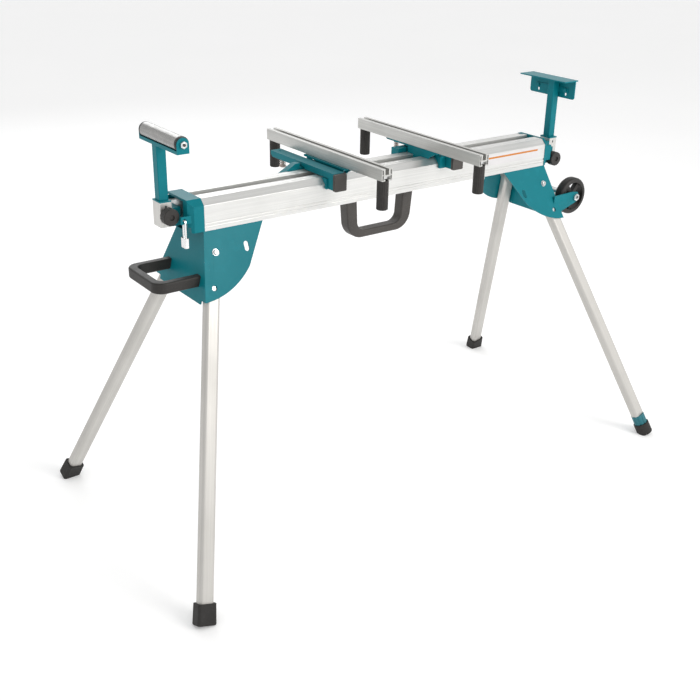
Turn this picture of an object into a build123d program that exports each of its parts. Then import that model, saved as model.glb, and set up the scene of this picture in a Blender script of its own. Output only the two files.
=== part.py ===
"""Folding stand for a mitre saw: an extruded rail on four splayed folding legs.

Millimetres, +Z up, +X along the rail from the grip end to the wheel end, -Y is the front.
The floor is Z = 0 and the rail is centred on the origin.  Each named piece goes to parts/.
"""
import os
from math import atan, cos, degrees, radians, sin, sqrt

from build123d import *

# ---------------------------------------------------------------- driving sizes
rail_length = 1010.0
rail_width = 107.0
rail_height = 68.0
rail_floor = 731.0            # height of the rail's underside above the floor
rail_wall = 3.0
ridge_chamfer = 13.0          # bevel along both top edges
slot_neck = 26.0              # T slot along the top: mouth width
slot_neck_depth = 6.0
slot_width = 36.0
slot_depth = 16.0
chamber_height = 46.0         # two side by side chambers carry the extension tubes
web_wall = 4.0
line_groove, line_groove_depth = 3.2, 1.8   # decorative groove along both sides
line_groove_drop = 51.0
flute, flute_depth = 1.6, 0.9               # fine lines along the top

slide_gap = 0.4               # flat clearance between sliding pieces
turn_gap = 0.05               # radial clearance of a shaft in its bore
free_gap = 0.5                # clearance between pieces that pass each other

left_cap, right_cap = 34.0, 6.0   # how far each cap stands out from the rail's end
cap_lip = 1.0                 # how far a cap stands proud of the rail's sides and top
cap_bevel = 10.0              # bevelled outer corner of the left cap's cheek
tube_standoff = 1.5           # from a cap's face to the end of its tube

tube_length = 900.0
tube_wall = 2.5
post_offset = 68.0            # post axis beyond the rail's end
post_size = 21.0
post_wall = 2.0
socket_x, socket_y = 26.0, 34.0
socket_floor, left_socket_top, right_socket_top = 742.0, 795.0, 788.0
collar_height, collar_margin = 3.0, 0.3
block_top = 781.0             # top of the block between a tube and its socket
post_foot = 746.0             # lower end of both posts, inside their sockets
knob_diameter, knob_length = 36.0, 24.0
knob_height = 769.0           # left knob, on the post's own axis
pinch_offset, pinch_height = 22.0, 742.0   # right knob, beside and below the post
pinch_front = 31.0            # front of its lug from the centre plane
pinch_lug = 17.0              # half size of the lug the right knob clamps
stud_diameter = 8.0

roller_axis = 933.0
roller_diameter, roller_length = 31.0, 158.0
roller_shift = -23.0          # roller centre in Y against its post
roller_play = 1.0             # end play on each side of the roller
cradle_width, cradle_sheet = 27.0, 2.7
cradle_drop = 19.0            # roller axis to the cradle's underside

stop_top = 944.0
stop_length, stop_width = 160.0, 49.0
stop_shift = 16.0             # stop bracket centre in Y against its post
stop_sheet = 3.0
stop_drop = 50.0
stop_slot_spacing, stop_slot_width, stop_slot_length = 96.0, 7.0, 18.0
carrier_sheet = 2.0

arm_width, arm_height, arm_length = 28.0, 26.5, 458.0
arm_left_x, arm_right_x = -140.0, 125.0
arm_left_y, arm_right_y = 29.0, 9.0
arm_slot_neck, arm_slot_lip = 9.0, 3.0     # T slot along the underside
arm_slot_width, arm_slot_height = 17.0, 7.0
arm_channel_width, arm_channel_depth = 10.0, 13.0   # open channel along the top
arm_cell_width, arm_cell_inset = 3.0, 1.6  # closed cells inside both walls
base_height = 20.0            # rail top to the underside of the arm
base_before, base_beyond = 18.5, 34.5        # base plate past the rail's front and back
base_wall = 4.0
bolt_inset = 14.0             # clamp bolt axis from the arm's end
nut_diameter, nut_length = 26.0, 66.0
bolt_diameter = 8.0

lever_width, lever_sheet = 29.0, 2.5
lever_side_gap = 13.0
base_ledge = 6.0              # base plate beyond the arm on the lever's side
lever_top_drop = 4.0          # arm underside to the lever's top
lever_height = 14.6
lever_before, lever_beyond = 36.5, 121.5     # lever past the rail's front and back
lever_pivot_beyond, lever_pivot_drop = 15.5, 23.0
lever_pin = 6.0
jaw_reach = 23.0              # how far the jaws hang down over the rail's bevels
jaw_gap = 0.6
shoe_reach, shoe_ramp, shoe_rise = 97.0, 37.0, 14.0
hook_length = 14.0
spring_radius, spring_wire, spring_height, spring_pitch = 7.0, 1.6, 24.0, 4.6

splay_x, splay_y = 0.316, 0.436   # sideways run of a leg for each unit of drop
pivot_inset, pivot_drop = 13.0, 49.0
leg_width, leg_depth, leg_corner, leg_wall = 33.5, 24.5, 8.0, 2.0
leg_side_gap = 0.5
foot_wall, foot_height = 4.0, 45.0
foot_corner, foot_round = 6.0, 3.5       # radii of the upright edges and of the lower rim
foot_taper = 1.5                         # outward taper in degrees
foot_sole = 12.0
pivot_bolt, pivot_head = 8.0, 12.0
button_diameter, button_reach = 10.0, 76.0
adjuster_diameter, adjuster_height = 36.0, 27.0
adjuster_foot, adjuster_foot_diameter = 34.0, 42.0
plug_diameter, stem_diameter = 20.0, 12.0

bracket_sheet = 3.0
bracket_lead = 3.0            # end plate beyond the rail's end, at the top
bracket_lean = 0.254          # outward run of the end plate for each unit of drop
bracket_reach = 142.0         # top edge length along the rail
bracket_drop = 134.0
end_plate_drop = 143.0
fold_left, fold_right = 106.1, 93.6   # fold angle of each pair of legs, degrees
fold_slot_width, fold_slot_length = 11.0, 22.0

grip_drop, grip_reach = 99.0, 101.0
grip_half, grip_width, grip_thickness = 65.0, 19.0, 24.0
handle_x, handle_half, handle_drop = -8.0, 102.0, 106.0
handle_depth, handle_bar, handle_leg = 30.0, 18.0, 32.0

wheel_diameter, wheel_width = 98.0, 26.0
wheel_offset, wheel_drop = 93.0, 90.0    # axle beyond the rail's end and below its underside
spoke_width, spoke_count = 11.0, 5
wheel_inner = 62.0            # inner face of each wheel from the centre plane
axle_diameter = 10.0
ear_sheet = 3.0

lock_offset, lock_inset, lock_rise = 44.0, 5.5, 30.0   # padlock against the rail's end, side and underside
lock_wire, lock_span, lock_drop, lock_body = 4.0, 9.0, 38.0, 20.0

# ---------------------------------------------------------------- derived sizes
half = rail_length / 2
half_w = rail_width / 2
base_front, base_back = -half_w - base_before, half_w + base_beyond
lever_front, lever_back = -half_w - lever_before, half_w + lever_beyond
lever_pivot_y = half_w + lever_pivot_beyond
rail_top = rail_floor + rail_height
arm_bottom = rail_top + base_height
chamber_in = web_wall / 2
chamber_out = half_w - rail_wall
chamber_floor = rail_floor + rail_wall + 0.5
post_x = half + post_offset
wheel_x, wheel_z = half + wheel_offset, rail_floor - wheel_drop
lock_x, lock_y, lock_z = half + lock_offset, half_w - lock_inset, rail_floor + lock_rise
splay = degrees(atan(splay_y))
lean = degrees(atan(bracket_lean))
drop_scale = sqrt(1 + splay_x ** 2 + splay_y ** 2)
pivot_z = rail_floor - pivot_drop
leg_length = pivot_z * drop_scale
leg_tilt = degrees(atan(splay_x / sqrt(1 + splay_y ** 2)))


# ---------------------------------------------------------------- small helpers
def block(x0, x1, y0, y1, z0, z1):
    """Axis-aligned box between two corners."""
    return Pos((x0 + x1) / 2, (y0 + y1) / 2, (z0 + z1) / 2) * Box(x1 - x0, y1 - y0, z1 - z0)


def rod(start, axis, radius, length):
    """Cylinder that starts at a point and runs along an axis."""
    return extrude(Plane(origin=start, z_dir=axis) * Circle(radius), amount=length)


def prism_x(points, x0, x1):
    """Closed outline of (y, z) points, extruded from x0 to x1."""
    face = make_face(Polyline([(x0, y, z) for y, z in points], close=True))
    return extrude(face, amount=x1 - x0, dir=(1, 0, 0))


def prism_y(points, y0, y1):
    """Closed outline of (x, z) points, extruded from y0 to y1."""
    face = make_face(Polyline([(x, y0, z) for x, z in points], close=True))
    return extrude(face, amount=y1 - y0, dir=(0, 1, 0))


def flip_x(shape):
    return mirror(shape, about=Plane.YZ)


def flip_y(shape):
    return mirror(shape, about=Plane.XZ)


def hexagon(start, axis, across, length):
    return extrude(Plane(origin=start, z_dir=axis) * RegularPolygon(across / 2, 6, major_radius=False),
                   amount=length)


def save(name, *shapes):
    """Write one piece; several separate solids stay together as one compound."""
    solids = []
    for shape in shapes:
        solids += list(shape.solids())
    out = solids[0] if len(solids) == 1 else Compound(children=solids)
    out.label = name
    export_step(out, f"parts/{name}.step")


# ---------------------------------------------------------------- rail
def rail_outline(grow=0.0):
    """Outline of the rail as (y, z) points; the underside never grows."""
    w, b, top = half_w + grow, ridge_chamfer, rail_top + grow
    return [(-w, rail_floor), (w, rail_floor), (w, top - b), (w - b, top), (-(w - b), top), (-w, top - b)]


def chamber(side, gap=0.0, x0=-half, x1=half):
    """Free space of one chamber, or of a tube inside it when gap is set."""
    y0, y1 = chamber_in + gap, chamber_out - gap
    z0, z1 = chamber_floor + gap, chamber_floor + chamber_height - gap
    body = block(x0, x1, y0, y1, z0, z1)
    return body if side > 0 else flip_y(body)


def make_rail():
    body = prism_x(rail_outline(), -half, half)
    body -= block(-half, half, -slot_neck / 2, slot_neck / 2, rail_top - slot_neck_depth, rail_top)
    body -= block(-half, half, -slot_width / 2, slot_width / 2,
                  rail_top - slot_depth, rail_top - slot_neck_depth)
    for side in (-1, 1):
        body -= chamber(side)
        groove_z = rail_top - line_groove_drop
        y = side * half_w
        body -= block(-half, half, y - line_groove_depth, y + line_groove_depth,
                      groove_z - line_groove / 2, groove_z + line_groove / 2)
        body -= block(-half, half, y - 0.6, y + 0.6, rail_floor + 9, rail_floor + 9.8)
        land = (slot_neck / 2 + half_w - ridge_chamfer) / 2
        for at in (land - 5, land + 5):
            low, high = side * at - flute / 2, side * at + flute / 2
            body -= block(-half, half, low, high, rail_top - flute_depth, rail_top)
    return body


def make_left_cap():
    """Hood over the rear chamber, whose tube passes, beside a solid cheek with a padlock tab."""
    end, out = half + left_cap, half_w + cap_lip
    body = prism_x(rail_outline(cap_lip), -end, -half)
    top = rail_top - 4
    body -= block(-end, -half - 8, -26, chamber_out + 2, chamber_floor - 2, top)
    body -= chamber(1, -2 * slide_gap, -end, -half)
    body -= block(-end, -end + 5, -out, -26, rail_floor, rail_floor + 12)
    corner = make_face(Polyline([(-end, -out, 0), (-end + cap_bevel, -out, 0), (-end, -out + cap_bevel, 0)],
                                close=True))
    body -= Pos(0, 0, rail_floor) * extrude(corner, amount=rail_height + 5, dir=(0, 0, 1))
    tab = block(-lock_x - 8, -end + 8, -lock_y - 2, -lock_y + 2, lock_z - 8, lock_z + 8)
    return body + tab - rod((-lock_x, -lock_y - 2, lock_z), (0, 1, 0), 3.6, 4)


def make_right_cap():
    """Thin cover plate with an opening for the front tube and a short lip over the rail's rear ridge."""
    body = prism_x(rail_outline(cap_lip), half, half + right_cap)
    body -= chamber(-1, -2 * slide_gap, half, half + right_cap)
    edge = half_w - ridge_chamfer
    lip = block(half - 9, half, edge - 14, edge, rail_top + 0.2, rail_top + cap_lip)
    return body + lip


# ---------------------------------------------------------------- extensions and posts
def make_tube(side, cap):
    """Left extension tube in the chamber on the given side of the centre plane."""
    end = -half - cap - tube_standoff
    outer = chamber(side, slide_gap, end, end + tube_length)
    inner = chamber(side, slide_gap + tube_wall, end, end + tube_length)
    return outer - inner


def make_end_block(side, cap):
    """Block that joins a tube to its socket; it leaves room for the knob in front of the socket."""
    near, far = -half - cap - tube_standoff, -post_x + socket_x / 2
    body = block(far, near, -socket_y / 2, socket_y / 2, socket_floor, block_top)
    y_out = chamber_out - slide_gap
    if side > 0:
        return body + block(far + 4, near, 0, y_out, socket_floor, block_top)
    wing_end = -post_x + pinch_offset + knob_diameter / 2 + free_gap
    body += block(wing_end, near, -y_out, 0, socket_floor, block_top)
    x = -post_x + pinch_offset
    low = pinch_height - pinch_lug + 3
    body += block(far, x + pinch_lug, -socket_y / 2, socket_y / 2, low, block_top)
    body += block(far, x + pinch_lug, -pinch_front, -socket_y / 2, low, block_top - 12)
    body -= rod((x, 0, pinch_height), (0, -1, 0), stud_diameter / 2 + turn_gap, pinch_front)
    return body


def make_collar(top):
    """Dark rim on top of a socket."""
    x, y = socket_x / 2 + collar_margin, socket_y / 2 + collar_margin
    hole = post_size / 2 + free_gap
    rim = block(-post_x - x, -post_x + x, -y, y, top, top + collar_height)
    return rim - block(-post_x - hole, -post_x + hole, -hole, hole, top, top + collar_height)


def make_socket(top, bored):
    """Upright tube that guides the post; bored where a knob on the post's axis goes through."""
    hole = post_size + 2 * slide_gap
    body = block(-post_x - socket_x / 2, -post_x + socket_x / 2, -socket_y / 2, socket_y / 2,
                 socket_floor, top)
    body -= block(-post_x - hole / 2, -post_x + hole / 2, -hole / 2, hole / 2, socket_floor, top)
    if bored:
        body -= rod((-post_x, 0, knob_height), (0, -1, 0), stud_diameter / 2 + turn_gap, socket_y)
    return body - block(-post_x - 2, -post_x + 2, -socket_y / 2, -hole / 2, top - 13, top - 7)


def make_post(top):
    body = block(-post_x - post_size / 2, -post_x + post_size / 2, -post_size / 2, post_size / 2,
                 post_foot, top)
    body = fillet(body.edges().filter_by(Axis.Z), 2)
    core = post_size / 2 - post_wall
    return body - block(-post_x - core, -post_x + core, -core, core, post_foot, top)


def make_knob(inset=0.0, height=knob_height, face=socket_y / 2, tip=post_size / 2 + slide_gap):
    """Ribbed clamping knob on a face; its threaded stud ends at the tip distance from the centre plane."""
    x, start = -post_x + inset, -face - slide_gap
    body = rod((x, start - 6, height), (0, -1, 0), knob_diameter / 2, knob_length - 6)
    body += rod((x, start, height), (0, -1, 0), 10, 6)
    body = chamfer(body.faces().sort_by(Axis.Y)[0].outer_wire().edges(), 1.5)
    for i in range(12):
        rib = rod((x + knob_diameter / 2 + 1.4, start - 5, height), (0, -1, 0), 2.2, knob_length)
        body -= rib.rotate(Axis((x, 0, height), (0, 1, 0)), i * 30)
    body -= rod((x, start - knob_length, height), (0, 1, 0), 6.5, 3)
    return body + rod((x, -tip, height), (0, -1, 0), stud_diameter / 2, -tip - start + 8)


def make_cradle():
    low = roller_axis - cradle_drop
    length = roller_length + 2 * (cradle_sheet + roller_play)
    y0, y1 = roller_shift - length / 2, roller_shift + length / 2
    w = cradle_width / 2
    body = block(-post_x - w, -post_x + w, y0, y1, low, low + cradle_sheet)
    for x in (-post_x - w, -post_x + w - cradle_sheet):
        body += block(x, x + cradle_sheet, y0, y1, low, low + 7)
    for y in (y0, y1 - cradle_sheet):
        ear = block(-post_x - w, -post_x + w, y, y + cradle_sheet, low, roller_axis)
        ear += rod((-post_x, y, roller_axis), (0, 1, 0), w, cradle_sheet)
        body += ear
    return body - rod((-post_x, y0, roller_axis), (0, 1, 0), 4, length)


def make_roller():
    y0 = roller_shift - roller_length / 2
    shell = rod((-post_x, y0 + 5, roller_axis), (0, 1, 0), roller_diameter / 2, roller_length - 10)
    shell -= rod((-post_x, y0 + 5, roller_axis), (0, 1, 0), roller_diameter / 2 - 1.5, roller_length - 10)
    for y in (y0, y0 + roller_length - 14):
        shell += rod((-post_x, y, roller_axis), (0, 1, 0), roller_diameter / 2 - 1.5, 14)
    for y in (y0, y0 + roller_length - 5):
        shell += rod((-post_x, y, roller_axis), (0, 1, 0), roller_diameter / 2 - 0.8, 5)
    return shell - rod((-post_x, y0, roller_axis), (0, 1, 0), 4 + turn_gap, roller_length)


def make_roller_axle():
    length = roller_length + 2 * (cradle_sheet + roller_play)
    y0 = roller_shift - length / 2
    body = rod((-post_x, y0 - 4, roller_axis), (0, 1, 0), 4, length + 8)
    for y in (y0 - 5, y0 + length):
        body += hexagon((-post_x, y, roller_axis), (0, 1, 0), 13, 5)
    return body


def make_stop():
    """Flat work support: a top plate and a slotted flange on the outer side of the post."""
    face = post_x + post_size / 2 + carrier_sheet
    y0, y1 = stop_shift - stop_length / 2, stop_shift + stop_length / 2
    x1 = face + stop_sheet + 5
    body = block(x1 - stop_width, x1, y0, y1, stop_top - stop_sheet, stop_top)
    flange = block(face, face + stop_sheet, y0 + 2, y1 - 2, stop_top - stop_drop, stop_top - stop_sheet)
    low = flange.edges().filter_by(Axis.X).group_by(Axis.Z)[0]
    body += fillet(low, 6)
    for side in (-1, 1):
        y = stop_shift + side * stop_slot_spacing / 2
        z = stop_top - stop_drop + 6 + stop_slot_length / 2
        slot = Plane(origin=(face, y, z), x_dir=(0, 0, 1), z_dir=(1, 0, 0))
        body -= extrude(slot * SlotOverall(stop_slot_length, stop_slot_width), amount=stop_sheet)
    return body


def make_carrier():
    """Bar on the post that holds the two screws of the stop bracket."""
    face = post_x + post_size / 2
    half_bar = stop_slot_spacing / 2 + 9
    z = stop_screw_height()
    bar = block(face, face + carrier_sheet, stop_shift - half_bar, stop_shift + half_bar, z - 6, z + 7)
    for side in (-1, 1):
        y = stop_shift + side * stop_slot_spacing / 2
        bar += rod((face - 3, y, z), (1, 0, 0), 3, 3 + carrier_sheet + stop_sheet + 4)
        bar += rod((face - 3, y, z), (1, 0, 0), 5.5, 3)
        bar += hexagon((face + carrier_sheet + stop_sheet + 0.3, y, z), (1, 0, 0), 11, 3.2)
    return bar


def stop_screw_height():
    slot_top = stop_top - stop_drop + 6 + stop_slot_length
    return slot_top - stop_slot_width / 2 - 0.3


# ---------------------------------------------------------------- saw brackets
def make_arm(centre_y):
    """Slotted aluminium bar that carries the saw; local x = 0 is the bar's centre."""
    w, h = arm_width / 2, arm_height
    y0, y1 = centre_y - arm_length / 2, centre_y + arm_length / 2
    z0 = arm_bottom
    body = block(-w, w, y0, y1, z0, z0 + h)
    body = fillet(body.edges().filter_by(Axis.Y), 1)
    n, s = arm_slot_neck / 2, arm_slot_width / 2
    lip, deep = arm_slot_lip, arm_slot_lip + arm_slot_height
    body -= block(-n, n, y0, y1, z0, z0 + lip) + block(-s, s, y0, y1, z0 + lip, z0 + deep)
    c = arm_channel_width / 2
    body -= block(-c, c, y0, y1, z0 + h - arm_channel_depth, z0 + h)
    for side in (-1, 1):
        x = side * (w - arm_cell_inset - arm_cell_width / 2)
        for low, high in ((z0 + 2.2, z0 + h / 2 - 1), (z0 + h / 2 + 1, z0 + h - 2.2)):
            body -= block(x - arm_cell_width / 2, x + arm_cell_width / 2, y0, y1, low, high)
    return body


def make_base():
    """Clamp base under the arm: channel, T foot in the rail, front jaw, lever ear and shoe."""
    w = arm_width / 2
    z0, z1 = rail_top + slide_gap, arm_bottom
    body = block(-w - base_ledge, w, base_front, base_back, z1 - base_wall, z1)
    jaw_front = half_w - ridge_chamfer - 6
    for x, wall_end in ((-w, half_w - 2), (w - base_wall, jaw_front)):
        body += block(x, x + base_wall, base_front + 30, wall_end, z0, z1)
        side = [(base_front, z1), (base_front + 32, z1), (base_front + 32, z0), (base_front + 12, z1 - 9)]
        body += prism_x(side, x, x + base_wall)
    body += block(-w, w, -slot_neck / 2 + slide_gap, slot_neck / 2 - slide_gap,
                  rail_top - slot_neck_depth - 1, z1)
    body += block(-w, w, -slot_width / 2 + slide_gap, slot_width / 2 - slide_gap,
                  rail_top - slot_depth + slide_gap, rail_top - slot_neck_depth - slide_gap)
    outer = -w - lever_side_gap - lever_width - 4
    body += prism_x(jaw_outline(5), -w - lever_side_gap + free_gap, -w + base_wall)
    body += prism_x(jaw_outline(0), outer, -w + base_wall)
    ear_x = -w - 4
    pz = lever_pivot()[1]
    ear = [(half_w + 4, pz - 9), (lever_pivot_y + 10, pz - 9), (lever_pivot_y + 10, z1), (half_w + 4, z1)]
    body += prism_x(ear, ear_x, ear_x + 3)
    body += block(ear_x, -w, half_w + 4, lever_pivot_y + 10, z1 - base_wall, z1)
    reach = w + shoe_reach
    y0, y1 = half_w - ridge_chamfer + 1.2, half_w + 5
    low, high = z0 - 6, z0 + 5
    beside = -w - lever_side_gap - lever_width - 6
    shoe = prism_y([(-reach, low), (ear_x + 3, low), (ear_x + 3, high), (beside, high),
                    (beside, z0 + shoe_rise), (-reach + shoe_ramp, z0 + shoe_rise)], y0, y1)
    shoe -= prism_x([(y0 - 9, rail_top + 9.0), (y0 - 9, rail_top - 14), (y1 + 9, rail_top - 14 - 9),
                     (y1, half_w - y1 + rail_top - ridge_chamfer + 0.7),
                     (y0, half_w - y0 + rail_top - ridge_chamfer + 0.7)], -reach, w)
    body += shoe
    body += block(ear_x, ear_x + 3, y0 + 4, lever_pivot_y + 10, z0 - 3, z0 + 5)
    pin_x = -w - lever_side_gap - lever_width - 3
    body += rod((pin_x, lever_pivot_y, pz), (1, 0, 0), lever_pin / 2, ear_x + 3 - pin_x)
    body += rod((pin_x, lever_pivot_y, pz), (1, 0, 0), lever_pin / 2 + 2, 2.5)
    hook = rod((w - 8, base_front - hook_length, z1 - 3), (0, 1, 0), 1.5, hook_length + 1)
    body += hook + rod((w - 8, base_front - hook_length + 1.5, z1 - 9), (0, 0, 1), 1.5, 6)
    return body


def jaw_outline(rise, thickness=6):
    """Jaw over the rail's front bevel, as (y, z) points, with its top a little above the rail."""
    face, top = -half_w - jaw_gap, rail_top + slide_gap
    low = rail_top - jaw_reach
    edge = -(half_w - ridge_chamfer) - 0.4
    points = [(face - thickness, low), (face, low), (face, rail_top - ridge_chamfer + 0.3), (edge, top)]
    if rise:
        points += [(edge, top + rise)]
    return points + [(face - thickness, top + rise)]


def make_jaw():
    """Rear jaw: slides back from the rail's bevel when the lever lifts."""
    points = [(-y, z) for y, z in jaw_outline(9, 14)]
    return prism_x(points, -arm_width / 2 + base_wall + free_gap, arm_width / 2 + 24)


def lever_pivot():
    return lever_pivot_y, arm_bottom - lever_pivot_drop


def make_lever():
    """Inverted channel beside the arm: thin sides, turned-down front end, lobe at the pivot."""
    x1 = -arm_width / 2 - lever_side_gap
    x0 = x1 - lever_width
    top = arm_bottom - lever_top_drop
    low = top - lever_height
    py, pz = lever_pivot()
    front_low = rail_top - jaw_reach + 1
    clear = -half_w - jaw_gap - 6 - 2
    shoe_front, shoe_back = half_w - ridge_chamfer - 6, half_w + 6.5
    high = rail_top + slide_gap + 5 + 1.2
    side = [(lever_front + 8, top), (lever_front + 8, front_low), (clear, front_low), (clear, low),
            (shoe_front - 6, low), (shoe_front, high), (shoe_back, high), (shoe_back + 3, pz - 3),
            (py - 3, pz - 8), (py + 3, pz - 8), (py + 9, pz), (py + 14, low), (lever_back - 8, low),
            (lever_back, low + 6), (lever_back, top)]
    body = block(x0, x1, lever_front + 8, lever_back, top - lever_sheet, top)
    for x in (x0, x1 - lever_sheet):
        body += prism_x(side, x, x + lever_sheet)
    body -= rod((x0 - 1, py, pz), (1, 0, 0), lever_pin / 2 + turn_gap, lever_width + 2)
    body -= rod((x0 + lever_width / 2, lever_back - 18, top - lever_sheet), (0, 0, 1), 3, lever_sheet)
    return body


def make_grip_pad():
    """Dark pad over the lever's front end, with a core between the lever's sides."""
    x1 = -arm_width / 2 - lever_side_gap
    x0 = x1 - lever_width
    top = arm_bottom - lever_top_drop
    low = rail_top - jaw_reach + 1
    pad = block(x0 - 1.5, x1 + 1.5, lever_front, lever_front + 8, low - 1.5, top - 1)
    pad = fillet(pad.edges().filter_by(Axis.Y), 3)
    core = block(x0 + lever_sheet, x1 - lever_sheet, lever_front + 8, lever_front + 24,
                 low + 2, top - lever_sheet)
    return pad + core


def make_spring():
    """Return coil under the rear of the lever."""
    x = -arm_width / 2 - lever_side_gap - lever_width / 2
    top = arm_bottom - lever_top_drop - lever_sheet
    y = lever_back - 30
    start = top - spring_height - 6
    path = Pos(x, y, start) * Helix(spring_pitch, spring_height, spring_radius)
    coil = sweep(Plane(origin=path @ 0, z_dir=path % 0) * Circle(spring_wire / 2), path=path)
    post = rod((x, y, start - 2), (0, 0, 1), spring_radius - 3, spring_height + 8)
    head = rod((x, y, start - 3), (0, 0, 1), spring_radius + 2, 2.4)
    return coil, post + head


def make_bolt(y):
    """T bolt whose head slides in the arm's lower slot; its shank carries the clamping nut."""
    z = arm_bottom + arm_slot_lip
    head = arm_slot_width / 2 - slide_gap
    body = block(-head, head, y - head, y + head, z + slide_gap / 2, z + arm_slot_height - 1.5)
    return body + rod((0, y, arm_bottom - nut_length + 8), (0, 0, 1), bolt_diameter / 2, nut_length - 4)


def make_nut(y):
    """Tall ribbed nut under the arm's end."""
    top = arm_bottom - slide_gap
    body = rod((0, y, top - nut_length), (0, 0, 1), nut_diameter / 2, nut_length)
    body = chamfer(body.edges().group_by(Axis.Z)[0], 1.5)
    body -= rod((0, y, top - nut_length + 7), (0, 0, 1), bolt_diameter / 2 + turn_gap, nut_length)
    for i in range(16):
        groove = rod((nut_diameter / 2 + 0.5, y, top - nut_length), (0, 0, 1), 1.3, nut_length - 4)
        body -= groove.rotate(Axis((0, y, 0), (0, 0, 1)), i * 22.5)
    return body


# ---------------------------------------------------------------- legs (front left, then mirrored)
def leg_frame():
    """Origin at the fold pivot; returns the pivot, the way down the leg, outward and across."""
    down = Vector(-splay_x, -splay_y, -1).normalized()
    out = Vector(0, -cos(radians(splay)), sin(radians(splay)))
    across = out.cross(down)
    plate_y = half_w + splay_y * pivot_drop
    depth = (bracket_sheet + leg_side_gap + leg_depth / 2) / cos(radians(splay))
    return Vector(-(half - pivot_inset), -(plate_y - depth), pivot_z), down, out, across


def on_leg(distance, outward=0.0):
    origin, down, out, _ = leg_frame()
    return origin + down * distance + out * outward


def leg_plane(distance):
    _, down, out, across = leg_frame()
    return Plane(origin=on_leg(distance), x_dir=across, z_dir=down)


def leg_section(grow):
    return RectangleRounded(leg_width + 2 * grow, leg_depth + 2 * grow, leg_corner + grow)


def make_leg(end):
    _, down, out, _ = leg_frame()
    body = extrude(leg_plane(0) * leg_section(0), amount=end)
    knuckle = rod(on_leg(0, -leg_depth / 2), out, leg_width / 2, leg_depth)
    body += knuckle
    body -= extrude(leg_plane(leg_width) * leg_section(-leg_wall), amount=end)
    body -= rod(on_leg(0, -leg_depth), out, pivot_bolt / 2 + turn_gap, 2 * leg_depth)
    body -= rod(on_leg(button_reach, 0), out, button_diameter / 2 + 0.3, leg_depth)
    return body


def sole_cut(shape):
    """Trim a foot flat on the floor."""
    return shape - block(-2000, 2000, -2000, 2000, -200, 0)


def round_end(shape):
    """Round the rim of the end that faces down the leg."""
    low = shape.faces().sort_by(Axis(on_leg(0), leg_frame()[1]))[-1]
    return fillet(low.edges(), foot_round)


def make_foot():
    """Rubber cap cut square across the leg, with the half that meets the floor trimmed flat."""
    top = leg_length - foot_height
    outline = RectangleRounded(leg_width + 2 * foot_wall, leg_depth + 2 * foot_wall, foot_corner)
    cap = extrude(leg_plane(top) * outline, amount=foot_height, taper=-foot_taper)
    cap = round_end(cap)
    cap -= extrude(leg_plane(top) * leg_section(0), amount=foot_height - foot_sole)
    return sole_cut(cap)


def make_adjuster():
    """Turning collar between a plug on the leg and the screwed foot."""
    top = leg_length - adjuster_foot - adjuster_height
    body = extrude(leg_plane(top) * Circle(adjuster_diameter / 2), amount=adjuster_height)
    body -= extrude(leg_plane(top) * Circle(plug_diameter / 2 + turn_gap), amount=adjuster_height)
    for i in range(10):
        groove = leg_plane(top + 3) * Pos(adjuster_diameter / 2 + 0.6, 0) * Circle(2)
        groove = extrude(groove, amount=adjuster_height - 3)
        body -= groove.rotate(Axis(on_leg(0), leg_frame()[1]), i * 36)
    return body


def make_adjuster_foot():
    """Rubber foot on a threaded stem that runs up inside the leg's plug."""
    top = leg_length - adjuster_foot + free_gap
    disc = leg_plane(top) * Circle(adjuster_foot_diameter / 2)
    body = round_end(extrude(disc, amount=adjuster_foot - free_gap))
    stem = extrude(leg_plane(top - adjuster_height) * Circle(stem_diameter / 2), amount=adjuster_height + 5)
    return sole_cut(body + stem)


def make_adjuster_plug():
    """Bored plug fixed in the leg's lower end; the collar turns on it."""
    top = leg_length - adjuster_foot - adjuster_height
    plug = extrude(leg_plane(top - 24) * Circle(plug_diameter / 2), amount=24 + adjuster_height - 2)
    web = extrude(leg_plane(top - 6) * leg_section(-leg_wall), amount=6)
    bore = extrude(leg_plane(top - 24) * Circle(stem_diameter / 2 + 0.4), amount=60 + adjuster_height)
    return (plug + web) - bore


def make_pivot():
    """Bolt through the bracket's side and the leg, with its nut on the inner face."""
    _, _, out, _ = leg_frame()
    outer = leg_depth / 2 + leg_side_gap + bracket_sheet
    inner = leg_depth / 2 + 1
    body = rod(on_leg(0, -inner - 6), out, pivot_bolt / 2, inner + 6 + outer + 1)
    body += rod(on_leg(0, outer), out, pivot_head / 2 + 1.5, 1.2)
    dome = rod(on_leg(0, outer + 1.2), out, pivot_head / 2, 4.2)
    dome = fillet(dome.faces().sort_by(Axis(on_leg(0), out))[-1].outer_wire().edges(), 2.5)
    body += dome - hexagon(on_leg(0, outer + 3.4), out, 4.5, 3)
    body += hexagon(on_leg(0, -inner - 5), out, 13, 5)
    return body


def make_button():
    _, _, out, _ = leg_frame()
    body = rod(on_leg(button_reach, 4), out, button_diameter / 2, leg_depth / 2 - 4 + 0.2)
    return body


# ---------------------------------------------------------------- leg brackets
def splayed_block(inset, top_inset, inner_x):
    """Wedge between both side planes and the end plane, offset inwards by a sheet thickness."""
    drop = 220.0
    run = inset / cos(radians(splay))
    y_top, y_low = half_w - run, half_w - run + splay_y * drop
    z_top, z_low = rail_floor, rail_floor - drop
    body = prism_x([(-y_top, z_top), (-y_low, z_low), (y_low, z_low), (y_top, z_top)], -half - 80, inner_x)
    body -= block(-half - 90, inner_x + 10, -400, 400, rail_floor - top_inset, rail_floor + 10)
    x_top = -half - bracket_lead + inset / cos(radians(lean))
    x_low = x_top - bracket_lean * drop
    body -= prism_y([(x_top, z_top), (x_low, z_low), (x_low - 120, z_low), (x_low - 120, z_top)], -400, 400)
    return body


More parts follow.
